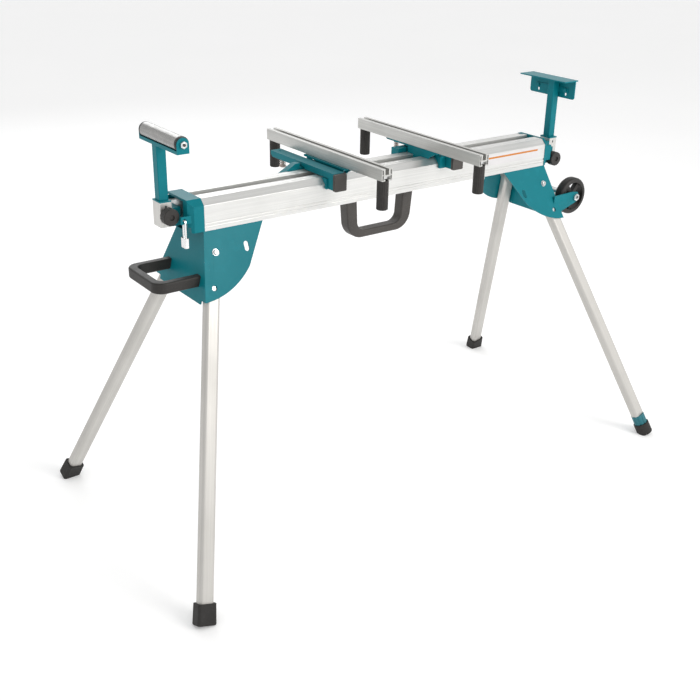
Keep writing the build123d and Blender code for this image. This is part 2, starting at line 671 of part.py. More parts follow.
def side_outline():
    """Side plate seen from the front: straight top, slanted inner edge, round lower edge."""
    x0 = -half - bracket_lead
    x1 = -half + bracket_reach
    z0 = rail_floor
    xl = x0 - bracket_lean * bracket_drop
    zl = rail_floor - bracket_drop
    start = Vector(x1 - 56, 0, z0 - 82)
    end = Vector(xl, 0, zl)
    mid = Vector(x1 - 118, 0, z0 - 122)
    edges = [Line((x0 - 60, 0, z0), (x1, 0, z0)), Line((x1, 0, z0), start),
             ThreePointArc(start, mid, end), Line(end, (xl - 60, 0, zl)),
             Line((xl - 60, 0, zl), (x0 - 60, 0, z0))]
    return make_face(edges)


def make_bracket(fold, ears):
    """Folded sheet bracket for the left end; its lower end is open for the legs."""
    origin, down, out, _ = leg_frame()
    inner_x = -half + bracket_reach + 40
    shell = splayed_block(0, 0, inner_x) - splayed_block(bracket_sheet, bracket_sheet, inner_x + 20)
    profile = extrude(side_outline(), amount=300, dir=(0, 1, 0), both=True)
    x_low = -half - bracket_lead - bracket_lean * end_plate_drop
    end_zone = prism_y([(-half - bracket_lead - 30, rail_floor), (-half - bracket_lead + 6, rail_floor),
                        (x_low + 6, rail_floor - end_plate_drop),
                        (x_low - 30, rail_floor - end_plate_drop)], -92, 92)
    body = shell & (profile + end_zone)
    if isinstance(body, ShapeList):
        body = Part() + list(body)
    holes = rod(on_leg(0, 0), out, pivot_bolt / 2, 60)
    holes += rod(on_leg(button_reach, 0), out, button_diameter / 2 + 0.7, 60)
    turned = Axis(on_leg(0), out)
    slot_plane = Plane(origin=on_leg(button_reach), x_dir=leg_frame()[3], z_dir=out)
    slot = extrude(slot_plane * SlotOverall(fold_slot_length, fold_slot_width), amount=60)
    holes += slot.rotate(turned, fold)
    body -= holes + flip_y(holes)
    if ears:
        y0 = wheel_inner + wheel_width + 5
        ear = prism_y([(-wheel_x + 82, wheel_z + 14), (-wheel_x + 12, wheel_z + 16), (-wheel_x - 6, wheel_z + 13),
                       (-wheel_x - 13, wheel_z + 3), (-wheel_x - 12, wheel_z - 8), (-wheel_x - 2, wheel_z - 14),
                       (-wheel_x + 58, wheel_z - 34), (-wheel_x + 82, wheel_z - 30)], -y0 - ear_sheet, -y0)
        ear -= rod((-wheel_x, -y0 - ear_sheet, wheel_z), (0, 1, 0), axle_diameter / 2, ear_sheet)
        ear -= splayed_block(bracket_sheet, bracket_sheet, inner_x)
        body += ear + flip_y(ear)
    return body


# ---------------------------------------------------------------- handles, wheels, lock
def make_grip():
    """Horizontal U handle on the left end plate."""
    z = rail_floor - grip_drop
    root = half + bracket_lead + bracket_lean * grip_drop
    x0, x1 = -root - grip_reach, -root + 10
    under = Plane(origin=((x0 + x1) / 2, 0, z - grip_thickness / 2))
    outer = under * Rectangle(x1 - x0, 2 * grip_half + grip_width)
    outer = fillet(outer.vertices().group_by(Axis.X)[0], 26)
    reach = x1 - x0 - grip_width
    inner = Plane(origin=(x1 - reach / 2 + 20, 0, z - grip_thickness / 2)) * Rectangle(
        reach + 40, 2 * grip_half - grip_width)
    inner = fillet(inner.vertices().group_by(Axis.X)[0], 14)
    body = extrude(outer - inner, amount=grip_thickness)
    body = fillet(body.edges().group_by(Axis.Z)[0] + body.edges().group_by(Axis.Z)[-1], 4)
    lean_cut = prism_y([(-half - bracket_lead, rail_floor), (-half - bracket_lead + 120, rail_floor),
                        (-half + 120, rail_floor - 200),
                        (-half - bracket_lead - bracket_lean * 200, rail_floor - 200)], -200, 200)
    return body - lean_cut


def make_handle():
    """Carrying handle with rounded bends that hangs under the middle of the rail."""
    w, reach = handle_half, handle_drop
    plane = Plane(origin=(handle_x, -handle_depth / 2, rail_floor), x_dir=(1, 0, 0), z_dir=(0, 1, 0))
    outer = make_face(Polyline([(-w, 0), (w, 0), (w - 10, reach), (-w + 10, reach)], close=True))
    outer = fillet(outer.vertices().group_by(Axis.Y)[-1], 44)
    i, low = w - handle_leg, reach - handle_bar
    inner = make_face(Polyline([(-i, 0), (i, 0), (i - 5, low), (-i + 5, low)], close=True))
    inner = fillet(inner.vertices().group_by(Axis.Y)[-1], 24)
    body = extrude(plane * (outer - inner), amount=handle_depth)
    rim = [e for e in body.edges() if abs(abs(e.center().Y) - handle_depth / 2) < 0.01
           and e.center().Z < rail_floor - 1]
    return fillet(rim, 4)


def make_wheel():
    y0 = -wheel_inner - wheel_width
    r = wheel_diameter / 2
    start = (wheel_x, y0, wheel_z)
    tyre = rod(start, (0, 1, 0), r, wheel_width)
    tyre = fillet(tyre.edges(), 7)
    tyre -= rod(start, (0, 1, 0), r - 12, wheel_width)
    hub = rod(start, (0, 1, 0), 12, wheel_width)
    disc = hub
    for i in range(spoke_count):
        spoke = block(wheel_x, wheel_x + r - 9, y0 + 6, y0 + wheel_width - 6,
                      wheel_z - spoke_width / 2, wheel_z + spoke_width / 2)
        disc += spoke.rotate(Axis((wheel_x, 0, wheel_z), (0, 1, 0)), i * 360 / spoke_count + 20)
    body = tyre + disc
    return body - rod(start, (0, 1, 0), axle_diameter / 2 + turn_gap, wheel_width)


def make_axle():
    outer = wheel_inner + wheel_width + 5 + ear_sheet
    start = (wheel_x, -outer - 6, wheel_z)
    body = rod(start, (0, 1, 0), axle_diameter / 2, 2 * (outer + 6))
    sleeve = wheel_inner - 1
    body += rod((wheel_x, -sleeve, wheel_z), (0, 1, 0), 9, 2 * sleeve)
    for y in (-outer - 5, outer):
        body += hexagon((wheel_x, y, wheel_z), (0, 1, 0), 17, 5)
    return body


def make_padlock():
    """Small padlock whose shackle passes through the tab on the left cap."""
    x, y, z = -lock_x, -lock_y, lock_z
    s, r = lock_span / 2, lock_wire / 2
    wire = rod((x, y - s, z - lock_drop), (0, 0, 1), r, lock_drop - s)
    wire += rod((x, y + s, z - lock_drop), (0, 0, 1), r, lock_drop - s)
    arch = Plane(origin=(x, y, z - s), x_dir=(0, 1, 0), z_dir=(1, 0, 0))
    ring = extrude(arch * (Circle(s + r) - Circle(s - r)), amount=r, both=True)
    wire += ring & block(x - 10, x + 10, y - 20, y + 20, z - s, z + 20)
    body = block(x - 5, x + 5, y - 10, y + 10, z - lock_drop - lock_body, z - lock_drop + 1)
    return fillet(body.edges().filter_by(Axis.Z), 3) + wire


def make_screws():
    """Heads of the small screws and rivets of the fixed frame."""
    out = []
    for sx, cap in ((-1, left_cap), (1, right_cap)):
        for sy in (-1, 1):
            for dx in (30, 105):
                out.append(rod((sx * (half - dx), sy * 30, rail_floor - bracket_sheet - 2.4), (0, 0, 1), 4.5, 2.4))
        rear = rod((sx * (half + cap / 2), half_w + cap_lip, rail_floor + 26), (0, 1, 0), min(3.5, cap / 2 - 1), 1.6)
        out.append(rear)
    for sy in (-1, 1):
        for dz in (-6, 6):
            drop = grip_drop - dz
            x = -half - bracket_lead - bracket_lean * drop + bracket_sheet / cos(radians(lean))
            out.append(rod((x, sy * grip_half, rail_floor - drop), (1, 0, -bracket_lean), 3.5, 2.5))
    return out


# ---------------------------------------------------------------- write every piece
def main():
    os.makedirs("parts", exist_ok=True)
    save("rail_extrusion", make_rail())
    save("left_end_cap", make_left_cap())
    save("right_end_cap", make_right_cap())
    save("left_leg_bracket", make_bracket(fold_left, False))
    save("right_leg_bracket", flip_x(make_bracket(fold_right, True)))
    pivot = make_pivot()
    save("leg_pivot_bolts", pivot, flip_y(pivot), flip_x(pivot), flip_x(flip_y(pivot)))
    save("grip_handle", make_grip())
    save("carry_handle", make_handle())
    save("frame_screws", *make_screws())
    save("wheel_axle", make_axle())

    save("left_extension_tube", make_tube(1, left_cap))
    save("left_end_block", make_end_block(1, left_cap), make_collar(left_socket_top))
    save("left_post_socket", make_socket(left_socket_top, True))
    save("right_extension_tube", flip_x(make_tube(-1, right_cap)))
    save("right_end_block", flip_x(make_end_block(-1, right_cap)), flip_x(make_collar(right_socket_top)))
    save("right_post_socket", flip_x(make_socket(right_socket_top, False)))

    save("left_post", make_post(roller_axis - cradle_drop))
    save("roller_cradle", make_cradle())
    save("roller_axle", make_roller_axle())
    save("roller", make_roller())
    save("left_post_knob", make_knob())
    save("right_post", flip_x(make_post(stop_top - stop_sheet - slide_gap)) + make_carrier())
    save("stop_bracket", make_stop())
    save("right_post_knob", flip_x(make_knob(pinch_offset, pinch_height, pinch_front, 2.0)))

    coil, guide = make_spring()
    parts = {"clamp_base": [make_base()], "clamp_jaw": [make_jaw()], "clamp_lever": [make_lever()],
             "lever_grip": [make_grip_pad()], "lever_spring": [coil, guide]}
    for side, x, y in (("left", arm_left_x, arm_left_y), ("right", arm_right_x, arm_right_y)):
        move = Pos(x, 0, 0)
        for name, shapes in parts.items():
            placed = shapes if side == "left" else [flip_x(s) for s in shapes]
            save(f"{side}_{name}", *[move * s for s in placed])
        save(f"{side}_saw_arm", move * make_arm(y))
        for end, sign in (("front", -1), ("rear", 1)):
            at = y + sign * (arm_length / 2 - bolt_inset)
            save(f"{side}_{end}_bolt", move * make_bolt(at))
            save(f"{side}_{end}_nut", move * make_nut(at))

    leg = make_leg(leg_length - foot_sole)
    foot = make_foot()
    short_leg = make_leg(leg_length - adjuster_foot - adjuster_height) + make_adjuster_plug()
    button = make_button()
    for name, place in (("front_left", lambda s: s), ("rear_left", flip_y), ("rear_right", lambda s: flip_x(flip_y(s)))):
        save(f"{name}_leg", place(leg))
        save(f"{name}_foot", place(foot))
        save(f"{name}_button", place(button))
    save("front_right_leg", flip_x(short_leg))
    save("front_right_foot", flip_x(make_adjuster_foot()))
    save("front_right_adjuster", flip_x(make_adjuster()))
    save("front_right_button", flip_x(button))

    save("front_wheel", make_wheel())
    save("rear_wheel", flip_y(make_wheel()))
    save("padlock", make_padlock())


main()
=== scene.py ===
"""Looks of the folding saw stand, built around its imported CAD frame.  Metres, +Z up, floor at z = 0."""

import math

import bmesh
import bpy
from mathutils import Matrix, Vector


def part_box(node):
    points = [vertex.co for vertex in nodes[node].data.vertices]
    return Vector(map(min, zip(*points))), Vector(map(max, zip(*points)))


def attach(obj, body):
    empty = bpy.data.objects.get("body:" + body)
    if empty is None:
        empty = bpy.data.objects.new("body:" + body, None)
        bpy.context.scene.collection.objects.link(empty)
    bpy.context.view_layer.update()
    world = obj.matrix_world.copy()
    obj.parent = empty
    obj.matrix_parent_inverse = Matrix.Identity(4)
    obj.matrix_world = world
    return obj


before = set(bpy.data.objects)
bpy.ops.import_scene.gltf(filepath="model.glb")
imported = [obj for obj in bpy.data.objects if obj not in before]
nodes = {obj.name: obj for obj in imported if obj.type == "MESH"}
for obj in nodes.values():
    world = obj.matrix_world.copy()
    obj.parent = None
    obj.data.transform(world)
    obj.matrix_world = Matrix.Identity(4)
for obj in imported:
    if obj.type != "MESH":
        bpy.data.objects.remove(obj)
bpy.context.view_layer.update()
scene = bpy.context.scene


# ---------------------------------------------------------------- shader helpers
class Look:
    """A Principled material with short calls for the nodes its surface detail needs."""

    def __init__(self, name, rough=0.5, metallic=0.0, coat=0.0, coat_rough=0.2, specular=0.5):
        self.mat = bpy.data.materials.new(name)
        self.mat.use_nodes = True
        self.tree = self.mat.node_tree
        self.shader = self.tree.nodes["Principled BSDF"]
        for socket, value in (("Roughness", rough), ("Metallic", metallic), ("Coat Weight", coat),
                              ("Coat Roughness", coat_rough), ("Specular IOR Level", specular)):
            self.shader.inputs[socket].default_value = value
        self.place = self.add("ShaderNodeTexCoord").outputs["Object"]

    def add(self, kind, links=None, **values):
        node = self.tree.nodes.new(kind)
        for name, value in values.items():
            setattr(node, name, value)
        for socket, source in (links or {}).items():
            self.put(source, node.inputs[socket])
        return node

    def put(self, source, socket):
        if isinstance(source, bpy.types.NodeSocket):
            self.tree.links.new(source, socket)
        elif isinstance(source, (tuple, list)) and len(source) == 3 and socket.type == "RGBA":
            socket.default_value = (*source, 1)
        else:
            socket.default_value = source

    def along(self, axis, stretch):
        """Coordinates squeezed along an axis, so that a noise becomes lines that run that way."""
        turn = Vector(axis).normalized().rotation_difference(Vector((1, 0, 0))).to_euler()
        turned = self.add("ShaderNodeMapping", {"Vector": self.place, "Rotation": tuple(turn)})
        return self.add("ShaderNodeMapping", {"Vector": turned.outputs[0], "Scale": (stretch, 1, 1)}).outputs[0]

    def noise(self, scale, detail=2.0, vector=None, rough=0.5):
        node = self.add("ShaderNodeTexNoise", {"Vector": vector or self.place, "Scale": scale,
                                               "Detail": detail, "Roughness": rough})
        return node.outputs["Fac"]

    def remap(self, value, low, high, to_low=0.0, to_high=1.0):
        node = self.add("ShaderNodeMapRange", {0: value, 1: low, 2: high, 3: to_low, 4: to_high})
        return node.outputs[0]

    def math(self, operation, a, b=0.0):
        return self.add("ShaderNodeMath", {0: a, 1: b}, operation=operation).outputs[0]

    def mix(self, amount, a, b, blend="MIX"):
        node = self.add("ShaderNodeMix", {0: amount, 6: a, 7: b}, data_type="RGBA", blend_type=blend)
        return node.outputs[2]

    def edges(self, radius, samples=4):
        """1 on an outside edge, 0 on a flat surface."""
        soft = self.add("ShaderNodeBevel", {"Radius": radius}, samples=samples).outputs[0]
        sharp = self.add("ShaderNodeNewGeometry").outputs["Normal"]
        dot = self.add("ShaderNodeVectorMath", {0: soft, 1: sharp}, operation="DOT_PRODUCT")
        return self.remap(dot.outputs["Value"], 0.995, 0.86)

    def bump(self, *layers):
        """Stacks (height, strength, distance) layers on the surface normal."""
        normal = None
        for height, strength, distance in layers:
            links = {"Height": height, "Strength": strength, "Distance": distance}
            if normal:
                links["Normal"] = normal
            normal = self.add("ShaderNodeBump", links).outputs[0]
        self.put(normal, self.shader.inputs["Normal"])

    def finish(self, colour=None, rough=None, metallic=None):
        for socket, source in (("Base Color", colour), ("Roughness", rough), ("Metallic", metallic)):
            if source is not None:
                self.put(source, self.shader.inputs[socket])
        return self.mat


# ---------------------------------------------------------------- materials
def aluminium(name, axis, light, dark, rough=0.34, lines=1400.0, metallic=0.75):
    """Anodised extrusion: die lines along its length, faint clouding and bright rubbed edges."""
    look = Look(name, specular=0.5)
    stretched = look.along(axis, 0.004)
    fine = look.noise(lines, 3.0, stretched, 0.6)
    broad = look.noise(lines / 14, 2.0, stretched)
    cloud = look.noise(9.0, 4.0)
    grain = look.noise(2600.0, 1.0)
    tone = look.mix(look.remap(fine, 0.3, 0.7), light, dark)
    tone = look.mix(look.remap(broad, 0.42, 0.62, 0.0, 0.55), tone, dark)
    tone = look.mix(look.remap(cloud, 0.45, 0.75, 0.0, 0.3), tone, tuple(0.82 * c for c in dark))
    rubbed = look.math("MULTIPLY", look.edges(0.0012), look.remap(look.noise(60.0, 3.0), 0.35, 0.6))
    tone = look.mix(look.math("MULTIPLY", rubbed, 0.6), tone, (0.86, 0.86, 0.85))
    uneven = look.math("ADD", look.remap(fine, 0.2, 0.8, rough - 0.07, rough + 0.08),
                       look.remap(cloud, 0.3, 0.8, -0.03, 0.06))
    look.bump((fine, 0.12, 0.0002), (grain, 0.05, 0.0001))
    look.shader.inputs["Metallic"].default_value = metallic
    return look.finish(tone, uneven)


def powder_coat(name, colour, deep, rough=0.36):
    """Textured teal powder coat with patches of dust and a few nicks that show primer on its edges."""
    look = Look(name, specular=0.15)
    peel = look.noise(520.0, 2.0)
    pebble = look.noise(1900.0, 1.0)
    cloud = look.noise(5.0, 4.0)
    tone = look.mix(look.remap(cloud, 0.35, 0.7), colour, deep)
    tone = look.mix(look.remap(look.noise(34.0, 5.0), 0.55, 0.8, 0.0, 0.22), tone, tuple(1.5 * c + 0.01 for c in colour))
    scuff = look.noise(700.0, 2.0, look.along((1, 0.4, 0.2), 0.03), 0.7)
    scuffed = look.math("MULTIPLY", look.remap(scuff, 0.66, 0.74), look.remap(look.noise(14.0, 3.0), 0.55, 0.7, 0.0, 0.35))
    tone = look.mix(scuffed, tone, (0.20, 0.36, 0.38))
    nick = look.math("MULTIPLY", look.edges(0.0009), look.remap(look.noise(150.0, 4.0, rough=0.7), 0.57, 0.63))
    tone = look.mix(look.math("MULTIPLY", nick, 0.7), tone, (0.34, 0.42, 0.43))
    uneven = look.math("ADD", look.remap(peel, 0.3, 0.7, rough - 0.05, rough + 0.07),
                       look.remap(cloud, 0.3, 0.75, -0.04, 0.07))
    look.bump((peel, 0.10, 0.0004), (pebble, 0.08, 0.0002))
    return look.finish(tone, uneven)


def moulded(name, colour, worn, rough=0.5, grain=1500.0, depth=0.00022):
    """Moulded plastic or rubber: spark-eroded grain, paler rubbed edges and a little dust."""
    look = Look(name, specular=0.42)
    fine = look.noise(grain, 2.0)
    cloud = look.noise(22.0, 4.0)
    tone = look.mix(look.remap(cloud, 0.3, 0.75), colour, tuple(0.72 * c for c in colour))
    tone = look.mix(look.remap(look.noise(grain / 3, 2.0), 0.55, 0.75, 0.0, 0.35), tone, worn)
    rubbed = look.math("MULTIPLY", look.edges(0.0011), look.remap(look.noise(90.0, 3.0), 0.4, 0.65))
    tone = look.mix(look.math("MULTIPLY", rubbed, 0.75), tone, worn)
    uneven = look.math("ADD", look.remap(fine, 0.25, 0.75, rough - 0.06, rough + 0.10),
                       look.remap(cloud, 0.3, 0.8, -0.05, 0.06))
    look.bump((fine, 0.22, depth), (cloud, 0.05, 0.0005))
    return look.finish(tone, uneven)


def plated(name, colour, rough=0.28, axis=(0, 1, 0), dull=(0.45, 0.44, 0.42)):
    """Plated steel: fine turned lines, passivated clouding and small dark pits."""
    look = Look(name, metallic=0.95)
    fine = look.noise(1700.0, 2.0, look.along(axis, 0.05), 0.6)
    cloud = look.noise(46.0, 4.0)
    pit = look.noise(420.0, 2.0)
    tone = look.mix(look.remap(cloud, 0.4, 0.75, 0.0, 0.7), colour, dull)
    tone = look.mix(look.remap(pit, 0.68, 0.74, 0.0, 0.5), tone, tuple(0.4 * c for c in dull))
    uneven = look.math("ADD", look.remap(fine, 0.25, 0.75, rough - 0.06, rough + 0.10),
                       look.remap(cloud, 0.3, 0.8, -0.04, 0.10))
    look.bump((fine, 0.12, 0.00015), (pit, 0.06, 0.0002))
    return look.finish(tone, uneven)


def roller_metal():
    """Galvanised roller tube: brushed round its girth with soft spangle and rolling marks."""
    look = Look("roller_metal", metallic=0.9)
    rings = look.noise(1500.0, 3.0, look.along((0, 1, 0), 1.0), 0.6)
    spangle = look.add("ShaderNodeTexVoronoi", {"Vector": look.place, "Scale": 110.0}).outputs["Color"]
    grey = look.add("ShaderNodeRGBToBW", {"Color": spangle}).outputs[0]
    lines = look.noise(900.0, 2.0, look.along((0, 1, 0), 0.02), 0.6)
    tone = look.mix(look.remap(lines, 0.35, 0.7, 0.0, 0.5), (0.36, 0.355, 0.345), (0.22, 0.215, 0.21))
    tone = look.mix(look.remap(grey, 0.2, 0.8, 0.0, 0.18), tone, (0.16, 0.16, 0.16))
    uneven = look.math("ADD", look.remap(rings, 0.25, 0.75, 0.18, 0.32), look.remap(grey, 0.2, 0.8, -0.03, 0.05))
    look.bump((lines, 0.10, 0.0002), (rings, 0.05, 0.0001))
    return look.finish(tone, uneven)


teal, teal_deep = (0.002, 0.185, 0.222), (0.001, 0.155, 0.188)
paint = powder_coat("teal_powder_coat", teal, teal_deep)
rail_metal = aluminium("rail_extrusion_metal", (1, 0, 0), (0.78, 0.78, 0.765), (0.62, 0.62, 0.605))
arm_metal = aluminium("arm_extrusion_metal", (0, 1, 0), (0.66, 0.655, 0.635), (0.50, 0.50, 0.48))
tube_metal = aluminium("tube_metal", (1, 0, 0), (0.70, 0.70, 0.69), (0.54, 0.54, 0.53), 0.4)
socket_metal = aluminium("socket_metal", (0, 0, 1), (0.72, 0.71, 0.68), (0.58, 0.57, 0.55), 0.4)
dark_plastic = moulded("dark_plastic", (0.058, 0.052, 0.047), (0.130, 0.120, 0.110), 0.46)
grip_plastic = moulded("grip_plastic", (0.026, 0.023, 0.021), (0.075, 0.070, 0.064), 0.50)
foot_rubber = moulded("foot_rubber", (0.020, 0.018, 0.017), (0.055, 0.051, 0.048), 0.68, 900.0, 0.0004)
wheel_plastic = moulded("wheel_plastic", (0.020, 0.018, 0.017), (0.065, 0.060, 0.056), 0.48)
collar_plastic = moulded("collar_plastic", (0.010, 0.150, 0.185), (0.10, 0.30, 0.33), 0.45)
zinc = plated("zinc_plate", (0.72, 0.73, 0.74))
spring_wire = plated("spring_wire", (0.62, 0.52, 0.48), 0.30, (0, 0, 1))
chrome = plated("lock_chrome", (0.88, 0.88, 0.88), 0.12, (0, 0, 1), (0.70, 0.70, 0.70))
roller_finish = roller_metal()

splay_x, splay_y = 0.316, 0.436
leg_metal = {}
for name, sx, sy in (("front_left", -1, -1), ("rear_left", -1, 1), ("front_right", 1, -1), ("rear_right", 1, 1)):
    leg_metal[name] = aluminium(f"{name}_leg_metal", (sx * splay_x, sy * splay_y, -1), (0.60, 0.585, 0.555),
                                (0.50, 0.485, 0.46), 0.42, 1100.0, 0.55)

finish = {
    "rail_extrusion": rail_metal, "left_end_cap": paint, "right_end_cap": paint,
    "left_leg_bracket": paint, "right_leg_bracket": paint, "leg_pivot_bolts": zinc,
    "grip_handle": grip_plastic, "carry_handle": dark_plastic, "frame_screws": zinc, "wheel_axle": zinc,
    "left_extension_tube": tube_metal, "right_extension_tube": tube_metal,
    "left_end_block": paint, "right_end_block": paint,
    "left_post_socket": socket_metal, "right_post_socket": socket_metal,
    "left_post": paint, "right_post": paint, "roller_cradle": paint, "roller_axle": zinc,
    "roller": roller_finish, "stop_bracket": paint,
    "left_post_knob": grip_plastic, "right_post_knob": grip_plastic,
    "front_right_adjuster": collar_plastic, "front_wheel": wheel_plastic, "rear_wheel": wheel_plastic,
    "padlock": chrome,
}
for side in ("left", "right"):
    finish.update({f"{side}_saw_arm": arm_metal, f"{side}_clamp_base": paint, f"{side}_clamp_jaw": paint,
                   f"{side}_clamp_lever": paint, f"{side}_lever_grip": dark_plastic,
                   f"{side}_lever_spring": spring_wire})
    for end in ("front", "rear"):
        finish[f"{side}_{end}_bolt"] = zinc
        finish[f"{side}_{end}_nut"] = grip_plastic
for name, metal in leg_metal.items():
    finish.update({f"{name}_leg": metal, f"{name}_foot": foot_rubber, f"{name}_button": zinc})


# ---------------------------------------------------------------- CAD pieces: finish and softened edges
bevels = {"rail_extrusion": 0.0006, "grip_handle": 0.0, "carry_handle": 0.0, "roller": 0.0004,
          "left_lever_spring": 0.0, "right_lever_spring": 0.0, "padlock": 0.0004}


def dress(obj, material, bevel):
    obj.data.materials.clear()
    obj.data.materials.append(material)
    weld = obj.modifiers.new("weld", "WELD")
    weld.merge_threshold = 1e-6
    if bevel:
        soften = obj.modifiers.new("soften", "BEVEL")
        soften.width, soften.segments, soften.limit_method = bevel, 2, "ANGLE"
        soften.angle_limit, soften.use_clamp_overlap = math.radians(38), True
        soften.harden_normals = False
    smooth_by_angle(obj)


def smooth_by_angle(obj, degrees=34.0):
    """Smooth curved faces, with each flat face kept flat."""
    for polygon in obj.data.polygons:
        polygon.use_smooth = True
    split = obj.modifiers.new("split", "EDGE_SPLIT")
    split.split_angle = math.radians(degrees)
    flatten = obj.modifiers.new("flatten", "WEIGHTED_NORMAL")
    flatten.mode, flatten.weight, flatten.keep_sharp = "FACE_AREA", 60, False


for name, obj in nodes.items():
    dress(obj, finish[name], bevels.get(name, 0.0004))


# ---------------------------------------------------------------- small pieces built here
def add_piece(name, mesh, material, body):
    obj = bpy.data.objects.new(name, mesh)
    mesh.materials.append(material)
    scene.collection.objects.link(obj)
    for polygon in mesh.polygons:
        polygon.use_smooth = True
    split = obj.modifiers.new("split", "EDGE_SPLIT")
    split.split_angle = math.radians(34.0)
    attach(obj, body)
    return obj


def lathe(profile, centre, axis, steps=48):
    """Mesh turned round an axis from (distance along it, radius) points."""
    bm = bmesh.new()
    axis = Vector(axis).normalized()
    side = axis.orthogonal().normalized()
    other = axis.cross(side)
    rings = []
    for along, radius in profile:
        ring = []
        for i in range(steps):
            turn = 2 * math.pi * i / steps
            ring.append(bm.verts.new(Vector(centre) + axis * along
                                     + (side * math.cos(turn) + other * math.sin(turn)) * radius))
        rings.append(ring)
    for low, high in zip(rings, rings[1:]):
        for i in range(steps):
            j = (i + 1) % steps
            bm.faces.new((low[i], low[j], high[j], high[i]))
    mesh = bpy.data.meshes.new("turned")
    bmesh.ops.recalc_face_normals(bm, faces=bm.faces)
    bm.to_mesh(mesh)
    bm.free()
    return mesh


def rounded_plate(x0, x1, z0, z1, y, thick, corner, steps=6):
    """Thin upright plate with rounded corners and a chamfered front edge, facing -Y."""
    bm = bmesh.new()
    centres = ((x1 - corner, z1 - corner, 0), (x0 + corner, z1 - corner, 90), (x0 + corner, z0 + corner, 180),
               (x1 - corner, z0 + corner, 270))
    rings = []
    for depth, inset in ((0.0, 0.0), (-0.6 * thick, 0.0), (-thick, 0.4 * thick)):
        ring = []
        for cx, cz, start in centres:
            for k in range(steps + 1):
                turn = math.radians(start + 90 * k / steps)
                reach = corner - inset
                ring.append(bm.verts.new((cx + reach * math.cos(turn), y + depth, cz + reach * math.sin(turn))))
        rings.append(ring)
    for low, high in zip(rings, rings[1:]):
        for i in range(len(low)):
            j = (i + 1) % len(low)
            bm.faces.new((low[i], low[j], high[j], high[i]))
    bm.faces.new(rings[-1])
    mesh = bpy.data.meshes.new("plate")
    bmesh.ops.recalc_face_normals(bm, faces=bm.faces)
    bm.to_mesh(mesh)
    bm.free()
    return mesh


def printed_sheet(name, colour, faded):
    """Sticker film: even ink with faint fading, dust and a slightly wavy surface."""
    look = Look(name, specular=0.4)
    fade = look.noise(16.0, 3.0)
    speck = look.noise(900.0, 2.0)
    tone = look.mix(look.remap(fade, 0.35, 0.7), colour, faded)
    tone = look.mix(look.remap(speck, 0.66, 0.78, 0.0, 0.25), tone, tuple(0.7 * c for c in faded))
    look.bump((fade, 0.08, 0.0006), (speck, 0.06, 0.0001))
    return look.finish(tone, look.remap(speck, 0.3, 0.7, 0.34, 0.48))


def make_label():
    """Plain pale sticker with an orange band, near the right end of the rail's front face."""
    low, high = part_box("rail_extrusion")
    x0, x1 = high.x - 0.209, high.x - 0.023
    face, top = low.y, high.z - 0.0150
    white = printed_sheet("label_film", (0.68, 0.66, 0.67), (0.61, 0.60, 0.60))
    orange = printed_sheet("label_band_ink", (0.58, 0.19, 0.012), (0.52, 0.19, 0.03))
    add_piece("label_plate", rounded_plate(x0, x1, top - 0.027, top, face, 0.0003, 0.0022), white,
              "frame")
    add_piece("label_band", rounded_plate(x0 + 0.003, x1 - 0.004, top - 0.0105, top - 0.0060, face - 0.0003,
                                          0.0001, 0.0006), orange, "frame")


def make_roller_rings():
    """Dark end rings of the roller, each with a rounded rim and a recessed web."""
    low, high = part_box("roller")
    radius, height = (high.z - low.z) / 2, (high.z + low.z) / 2
    middle = (low.x + high.x) / 2
    dark = moulded("roller_ring_plastic", (0.030, 0.029, 0.028), (0.085, 0.082, 0.078), 0.42)
    for name, y, way in (("front", low.y, 1), ("rear", high.y, -1)):
        profile = [(0.0051, radius - 0.0006), (0.0048, radius + 0.0001), (0.0010, radius + 0.0001),
                   (0.0001, radius - 0.0009), (-0.0003, radius - 0.0022), (-0.0003, radius - 0.0050),
                   (-0.0001, radius - 0.0056), (-0.0001, 0.0046)]
        add_piece(f"roller_ring_{name}", lathe(profile, (middle, y, height), (0, way, 0)), dark, "roller")


def make_bolt_sockets():
    """Sockets in the heads of the roller axle and the wheel axle: a bright raised lip round a flat near-black hex
    disc that is painted shade for the socket's recess.
    """
    # painted shade: the near-black hex discs stand in for the shade inside the bolt sockets
    painted_socket_shade = moulded("socket_shadow", (0.012, 0.012, 0.012), (0.05, 0.05, 0.05), 0.6)
    for node, body in (("roller_axle", "left_mast"), ("wheel_axle", "frame")):
        low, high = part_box(node)
        at_x, at_z = (low.x + high.x) / 2, (low.z + high.z) / 2
        size = 0.0034 if node == "roller_axle" else 0.0042
        for name, y, way in (("front", low.y, -1), ("rear", high.y, 1)):
            lip = [(-0.0004, size + 0.0016), (0.0004, size + 0.0010), (0.0006, size + 0.0004), (0.0004, size)]
            well = [(0.0003, size), (0.00015, size * 0.6), (0.0001, size * 0.15)]
            place = (at_x, y, at_z)
            add_piece(f"{node}_{name}_lip", lathe(lip, place, (0, way, 0), 24), zinc, body)
            add_piece(f"{node}_{name}_socket", lathe(well, place, (0, way, 0), 6), painted_socket_shade, body)


def make_keyhole():
    """Brass plug with a round recessed centre in the underside of the padlock."""
    low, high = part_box("padlock")
    place = ((low.x + high.x) / 2, (low.y + high.y) / 2, low.z)
    brass = plated("lock_plug", (0.70, 0.52, 0.22), 0.3, (0, 0, 1), (0.45, 0.33, 0.14))
    ring = [(0.0004, 0.0040), (0.0000, 0.0038), (-0.0003, 0.0034), (-0.0003, 0.0014), (0.0009, 0.0010),
            (0.0010, 0.0002)]
    add_piece("padlock_plug", lathe(ring, place, (0, 0, 1), 28), brass, "padlock")


